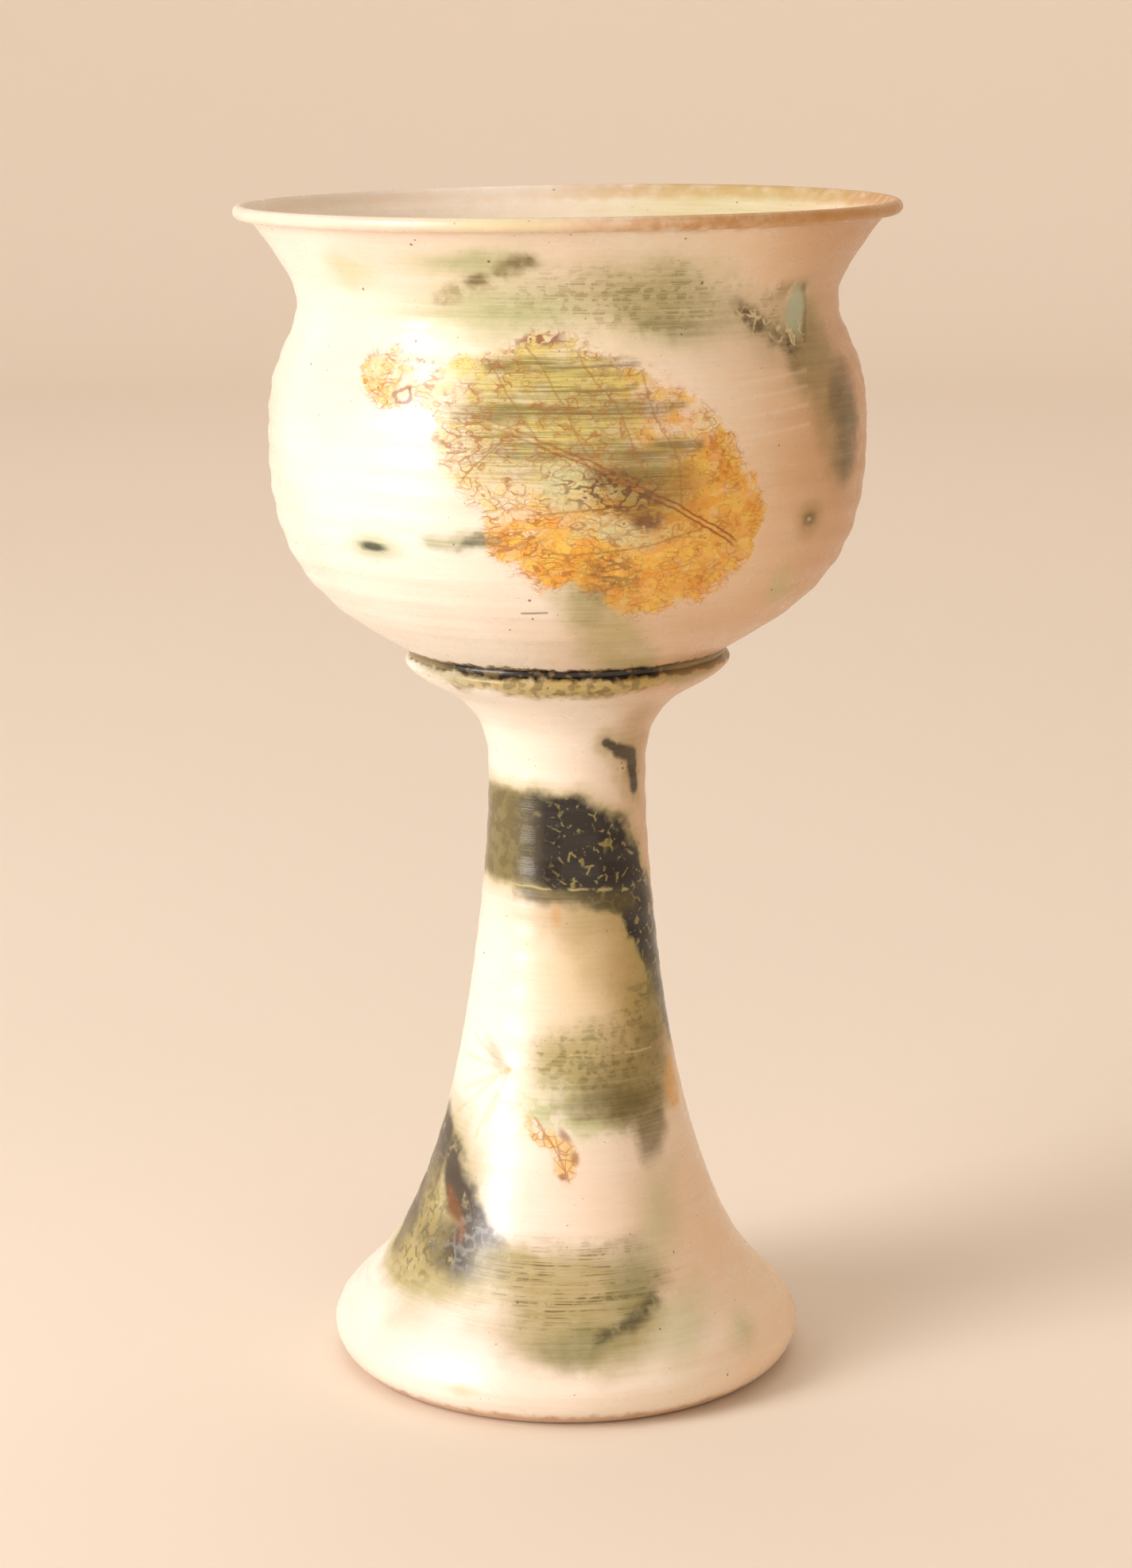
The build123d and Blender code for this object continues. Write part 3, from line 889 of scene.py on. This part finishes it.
def dark_band(g):
    """The band that sweeps round the stem and down its right side, and what runs from it."""
    sweep = (
        ([(-36, 107.5), (-22, 108), (-12, 108.6), (-1, 107.8)], 8.8),
        ([(-1, 107.8), (6, 104.6)], 8.6), ([(6, 104.6), (11.5, 100.4)], 6.6),
        ([(11.5, 100.4), (17, 95.5)], 5.2), ([(17, 95.5), (20.5, 88)], 5.4),
        ([(20.5, 88), (25, 79)], 5.2), ([(25, 79), (30, 70)], 4.8),
    )
    round_back = (([(34, 107.5), (14, 106), (3, 102)], 8), ([(3, 102), (-8, 96)], 5))
    ahead = g.strokes(*sweep, soft=0.16)
    band = g.band = g.strongest(ahead, g.strokes(*round_back, soft=0.2, where=g.behind))
    wide_sweep = [(points, width + 1.3) for points, width in sweep]
    wide_back = [(points, width + 1.6) for points, width in round_back]
    ahead = g.strokes(*wide_sweep, soft=0.3)
    halo = g.strongest(ahead, g.strokes(*wide_back, soft=0.4, where=g.behind))
    g.wash(g.dab((9, 82), (15, 15), soft=0.9), 0.6, (216, 190, 126), thin=0.85)
    smoke = g.dabs(((6, 92), (13, 5), -12), ((16, 82), (8, 14), 24), soft=1)
    g.wash(smoke, 0.7, (166, 140, 82), thin=0.9)
    g.wash(halo, 0.85, (160, 150, 78), thin=0.8)
    left = g.ramp(g.calc("ADD", g.x, g.calc("MULTIPLY", g.mottle, 6)), 0, -9)
    dark = g.blend(left, INK, (104, 92, 56))
    g.paint(dark, band, g.ramp(g.mottle, 0.22, 0.4, 0.75, 1))
    curls = crackle(g, g.near, 2.6, 0.3)
    g.paint((150, 140, 84), curls, band, g.ramp(g.fine, 0.5, 0.58), g.ramp(g.x, -6, 2), 0.8)
    g.paint((136, 124, 78), band, left, g.ramp(g.mottle, 0.46, 0.6), 0.6)
    low = g.stroke([(-8, 98.2), (1, 97.2), (15, 95)], 1.7, 0.8)
    g.wash(low, 0.9, (90, 80, 46), thin=0.8)
    line = g.stroke([(-14, 99.2), (6, 98.6), (13, 97.6)], 0.24, 0.9, where=g.near)
    g.paint((186, 172, 120), line, g.ramp(g.mottle, 0.4, 0.52), 0.75)
    drop = g.dab((-2, 93.6), (1.1, 2), soft=0.6, where=g.near)
    g.wash(drop, 0.6, (200, 152, 96), thin=0.9)


def olive_on_stem(g):
    """Olive washes down the stem."""
    olive_mass = g.dabs(((13, 62), (12.5, 9.5), -8), ((3, 66), (9, 6)), ((18, 72), (7, 9)))
    g.wash(g.dab((-1, 61), (8, 9), 20, soft=0.9), 0.5, (184, 182, 118), thin=0.7)
    g.wash(olive_mass, 0.8, (166, 148, 84), thin=0.85)
    middle = g.dabs(((13, 60), (11, 6), -4), ((20, 66), (4.5, 9)), soft=0.7)
    g.wash(middle, 0.7, (124, 108, 52), thin=0.75)
    streaked = g.ramp(g.streaks, 0.4, 0.6, 0.4, 1)
    g.paint((104, 94, 46), olive_mass, g.ramp(g.fine, 0.48, 0.58), streaked, 0.6)
    rim = g.dabs(((-4, 57.5), (6, 4), 30), ((3, 53.5), (8, 2.4), -8), soft=0.7)
    g.wash(g.both(rim, g.patchy), 0.7, (178, 184, 122))
    lowest = g.dabs(((11, 56.5), (10.5, 3), -3), ((18.5, 50.5), (3.2, 5)), soft=0.6)
    g.wash(lowest, 0.85, (102, 90, 42), thin=0.75)
    g.paint((204, 190, 140), g.stroke([(1, 67), (20, 66)], 0.22, 0.9, where=g.near),
            g.ramp(g.mottle, 0.4, 0.5), 0.6)


def prints_on_stem(g):
    """The faint veins at the left, the small leaf and the yellow blot."""
    for end in ((-27, 52), (-24.5, 57), (-20, 49), (-25, 63.5), (-17, 52), (-22, 68)):
        vein = g.stroke([(-11.7, 63.2), end], 0.4, 0.9, where=g.near)
        g.paint((222, 176, 104), vein, g.ramp(g.mottle, 0.36, 0.5), 0.3)
    g.wash(g.dab((-15.3, 65.2), (2, 3.2), 20, soft=0.9), 0.55, (136, 130, 78), thin=0.7)
    leaflet = g.dabs(((-2.6, 49.4), (6.2, 1.9), -58), ((-0.2, 46.4), (3.4, 2.3), -58), soft=0.4)
    g.paint((226, 184, 104), leaflet, g.ramp(g.mottle, 0.34, 0.56, 0.1, 0.85))
    g.paint((164, 100, 44), leaflet, crackle(g, g.near, 1.6, 0.16), g.ramp(g.fine, 0.4, 0.5), 0.6)
    g.paint((178, 112, 50), g.stroke([(-5.6, 55), (0.8, 43.5)], 0.22, 0.9, where=g.near), 0.6)
    spots = g.dabs(((-0.4, 51.6), (1.5, 0.7), -60), ((1.6, 47.4), (1.2, 0.7), -60),
                   ((-0.6, 44), (0.9, 0.6)), soft=0.7, where=g.near)
    g.wash(spots, 0.7, (146, 86, 40), thin=0.9)
    g.wash(g.dab((27, 57.5), (3.6, 5), 20, soft=0.35), 0.85, (226, 168, 72), thin=0.5)


def charcoal_on_foot(g):
    """The charcoal patch at the left of the foot, with its scales, the grey over them that is partly a
    painted highlight, and its olive edge.
    """
    ground = g.dabs(((-33, 35), (19, 14), 68), ((-36, 24.5), (21, 7), 2), soft=0.35)
    g.wash(ground, 0.9, (168, 154, 92), thin=0.85)
    charcoal = g.strongest(
        g.stroke([(-33, 47), (-38, 38)], 4.6, 0.4),
        g.stroke([(-38, 38), (-46, 29)], 6, 0.35),
        g.stroke([(-27, 43), (-22, 35), (-17, 30)], 4.6, 0.4),
        g.dab((-26, 28), (12, 4.6), turn=-4),
    )
    g.paint((62, 54, 50), charcoal, g.ramp(g.mottle, 0.3, 0.46, 0.35, 0.95))
    scales = crackle(g, g.near, 2.4, 0.5)
    # Grey over the scales at the left of the patch: partly the glaze's own crackle, partly a painted
    # highlight.
    g.paint((140, 138, 136), g.dab((-23, 29.5), (12, 5)), scales, g.ramp(g.fine, 0.42, 0.56), 0.65)
    wedge = g.dabs(((-34, 32), (6, 8), 40), ((-38, 25), (9, 4)), soft=0.6)
    g.paint((172, 156, 100), wedge, g.ramp(g.mottle, 0.38, 0.54, 0.3, 1), 0.75)
    g.paint((92, 82, 56), wedge, scales, g.ramp(g.fine, 0.46, 0.54), 0.6)
    g.wash(g.stroke([(-26.5, 38), (-23.5, 31)], 1.4, 0.9), 0.7, (138, 84, 44), thin=0.8)


def olive_on_foot(g):
    """The olive patch at the front of the foot, with its dark tail."""
    olive = g.dabs(((1, 22), (17.5, 9)), ((-10, 26), (9, 5)), ((11, 18.5), (9, 7), 20))
    g.wash(olive, 0.88, (160, 142, 74), thin=0.8)
    flecks = g.both(g.dab((2, 24.5), (17, 7), soft=0.6), g.ramp(g.lines, 0.5, 0.6), g.patchy)
    g.paint((92, 78, 42), flecks, 0.8)
    g.wash(g.dabs(((14, 25), (5, 6)), ((4, 15.5), (8, 2.6), 8), soft=0.8), 0.6, (112, 112, 60), thin=0.8)
    tail = g.strokes(([(17.4, 20.8), (13, 18.2)], 1.5, 0.8), ([(13, 18.2), (6, 16.2)], 0.9, 0.9),
                     where=g.near)
    g.wash(g.both(tail, g.ramp(g.mottle, 0.34, 0.5, 0.3, 1)), 0.85, (74, 68, 38), thin=0.85)
    faint = g.dabs(((24, 16.5), (6.5, 4.5), 30), ((-20.7, 6.7), (2.6, 1.2)), ((39.7, 12.9), (3.6, 2.6)),
                   ((19.8, 35), (5, 7)), soft=0.9)
    g.wash(faint, 0.5, (176, 182, 126), thin=0.8)


def back_of_pedestal(g):
    """The same olive and charcoal, on the back of the stem and the foot."""
    patches = g.dabs(((-16, 30), (20, 9), -14), ((30, 24), (14, 8), 20),
                     ((6, 62), (8, 12), -20), where=g.behind, soft=0.7)
    g.wash(patches, 0.8, (160, 142, 80), thin=0.75)
    core = g.dabs(((-20, 32), (11, 4), -16), ((34, 26), (7, 4.6), 20), where=g.behind)
    g.paint((72, 62, 48), core, g.ramp(g.mottle, 0.32, 0.48, 0.3, 0.9))


def bare_clay(g):
    """Paints the clay with no glaze, under the foot and in the hollow, and gives its mask."""
    low_edge = g.ramp(g.calc("MULTIPLY_ADD", g.mottle, -2.4, g.z), 2.2, 0.4)
    bare = g.strongest(g.inside, low_edge)
    g.layer(g.both(bare, 0.9), (206, 170, 140))
    g.layer(g.both(bare, g.ramp(g.mottle, 0.42, 0.7, 0, 0.5)), (184, 142, 110))
    return bare


def pedestal_glaze():
    g = stoneware("pedestal_glaze")
    for part in (below_joint, hook_on_stem, dark_band, olive_on_stem, prints_on_stem,
                 charcoal_on_foot, olive_on_foot, joint_line, back_of_pedestal):
        part(g)
    bare = bare_clay(g)
    finish_glaze(g, g.both(g.band, g.outside), bare)
    return g.material


def joint_glaze():
    g = stoneware("joint_glaze")
    g.wash(g.dab((0, 143.5), (34, 3)), 0.8, (150, 142, 84), thin=0.7)
    joint_line(g)
    finish_glaze(g, None, g.inside)
    return g.material


for piece, node, slot, material in (
    (bowl, "bowl", "bowl_glaze", bowl_glaze()),
    (pedestal, "pedestal", "pedestal_glaze", pedestal_glaze()),
    (slip, "slip_joint", "joint_glaze", joint_glaze()),
):
    piece.data.materials.append(material)
    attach(piece, "root")
    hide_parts(node)


# ---------------- studio

FLOOR_RADIUS = 2.6
COVE = 0.7
WALL_TOP = 2.6


def studio():
    """A pale floor that curves up into a round wall, with no top."""
    bend = [(FLOOR_RADIUS - COVE + COVE * math.sin(t), COVE - COVE * math.cos(t))
            for t in np.linspace(0, math.pi / 2, 25)]
    outline = [(0.0, 0.0), (0.3, 0.0), (1.0, 0.0)] + bend + [(FLOOR_RADIUS, WALL_TOP)]
    turns = 96
    verts, faces = [], []
    for radius, height in outline:
        for turn in np.linspace(0, 2 * math.pi, turns, endpoint=False):
            verts.append((radius * math.cos(turn), radius * math.sin(turn), height - 0.0002))
    for row in range(len(outline) - 1):
        for column in range(turns):
            beside = (column + 1) % turns
            below, above = row * turns, (row + 1) * turns
            faces.append((below + column, below + beside, above + beside, above + column))
    mesh = bpy.data.meshes.new("studio_floor")
    mesh.from_pydata(verts, [], faces)
    mesh.polygons.foreach_set("use_smooth", [True] * len(mesh.polygons))
    floor = bpy.data.objects.new("studio_floor", mesh)
    bpy.context.scene.collection.objects.link(floor)
    pale = bpy.data.materials.new("studio_floor")
    pale.use_nodes = True
    shader = pale.node_tree.nodes["Principled BSDF"]
    shader.inputs["Base Color"].default_value = srgb(240, 226, 210)
    shader.inputs["Roughness"].default_value = 0.9
    mesh.materials.append(pale)


def area_light(name, at, size, power, colour, target=(0.0, 0.0, 0.12)):
    light = bpy.data.lights.new(name, "AREA")
    light.shape = "RECTANGLE"
    light.size, light.size_y = size
    light.energy = power
    light.color = colour
    lamp = bpy.data.objects.new(name, light)
    lamp.location = at
    lamp.rotation_euler = (Vector(target) - Vector(at)).to_track_quat("-Z", "Y").to_euler()
    lamp.visible_camera = False
    bpy.context.scene.collection.objects.link(lamp)


studio()
area_light("key", (-1.35, -0.75, 0.95), (0.8, 1.2), 19.0, (1.0, 0.98, 0.965))
area_light("low_key", (-1.15, -0.7, 0.37), (0.5, 0.72), 7.5, (1.0, 0.99, 0.98), target=(0.0, 0.0, 0.3))
area_light("front", (0.55, -1.6, 0.75), (2.0, 2.0), 8.0, (1.0, 0.9, 0.74))
area_light("top", (0.0, 0.2, 1.9), (1.4, 1.4), 4.5, (1.0, 0.97, 0.93))
area_light("wall", (0.0, 1.1, 2.2), (2.2, 0.8), 13.0, (1.0, 0.97, 0.93), target=(0.0, 2.6, 0.4))
world = bpy.data.worlds.new("studio_air")
world.use_nodes = True
world.node_tree.nodes["Background"].inputs["Color"].default_value = (1.0, 0.95, 0.88, 1.0)
world.node_tree.nodes["Background"].inputs["Strength"].default_value = 0.3
bpy.context.scene.world = world
bpy.context.scene.view_settings.view_transform = "Standard"

# The camera's place, its angle below the horizon in degrees and its lens fit the photo's outline.
CAMERA_AT = (0.0, -0.6706, 0.2621)
CAMERA_DROP = 12.287
LENS = 80.4

camera_data = bpy.data.cameras.new("camera")
camera_data.lens = LENS
camera_data.sensor_width = 36.0
camera_data.dof.use_dof = False
camera = bpy.data.objects.new("camera", camera_data)
camera.location = CAMERA_AT
camera.rotation_euler = (math.radians(90 - CAMERA_DROP), 0.0, 0.0)
bpy.context.scene.collection.objects.link(camera)
bpy.context.scene.camera = camera
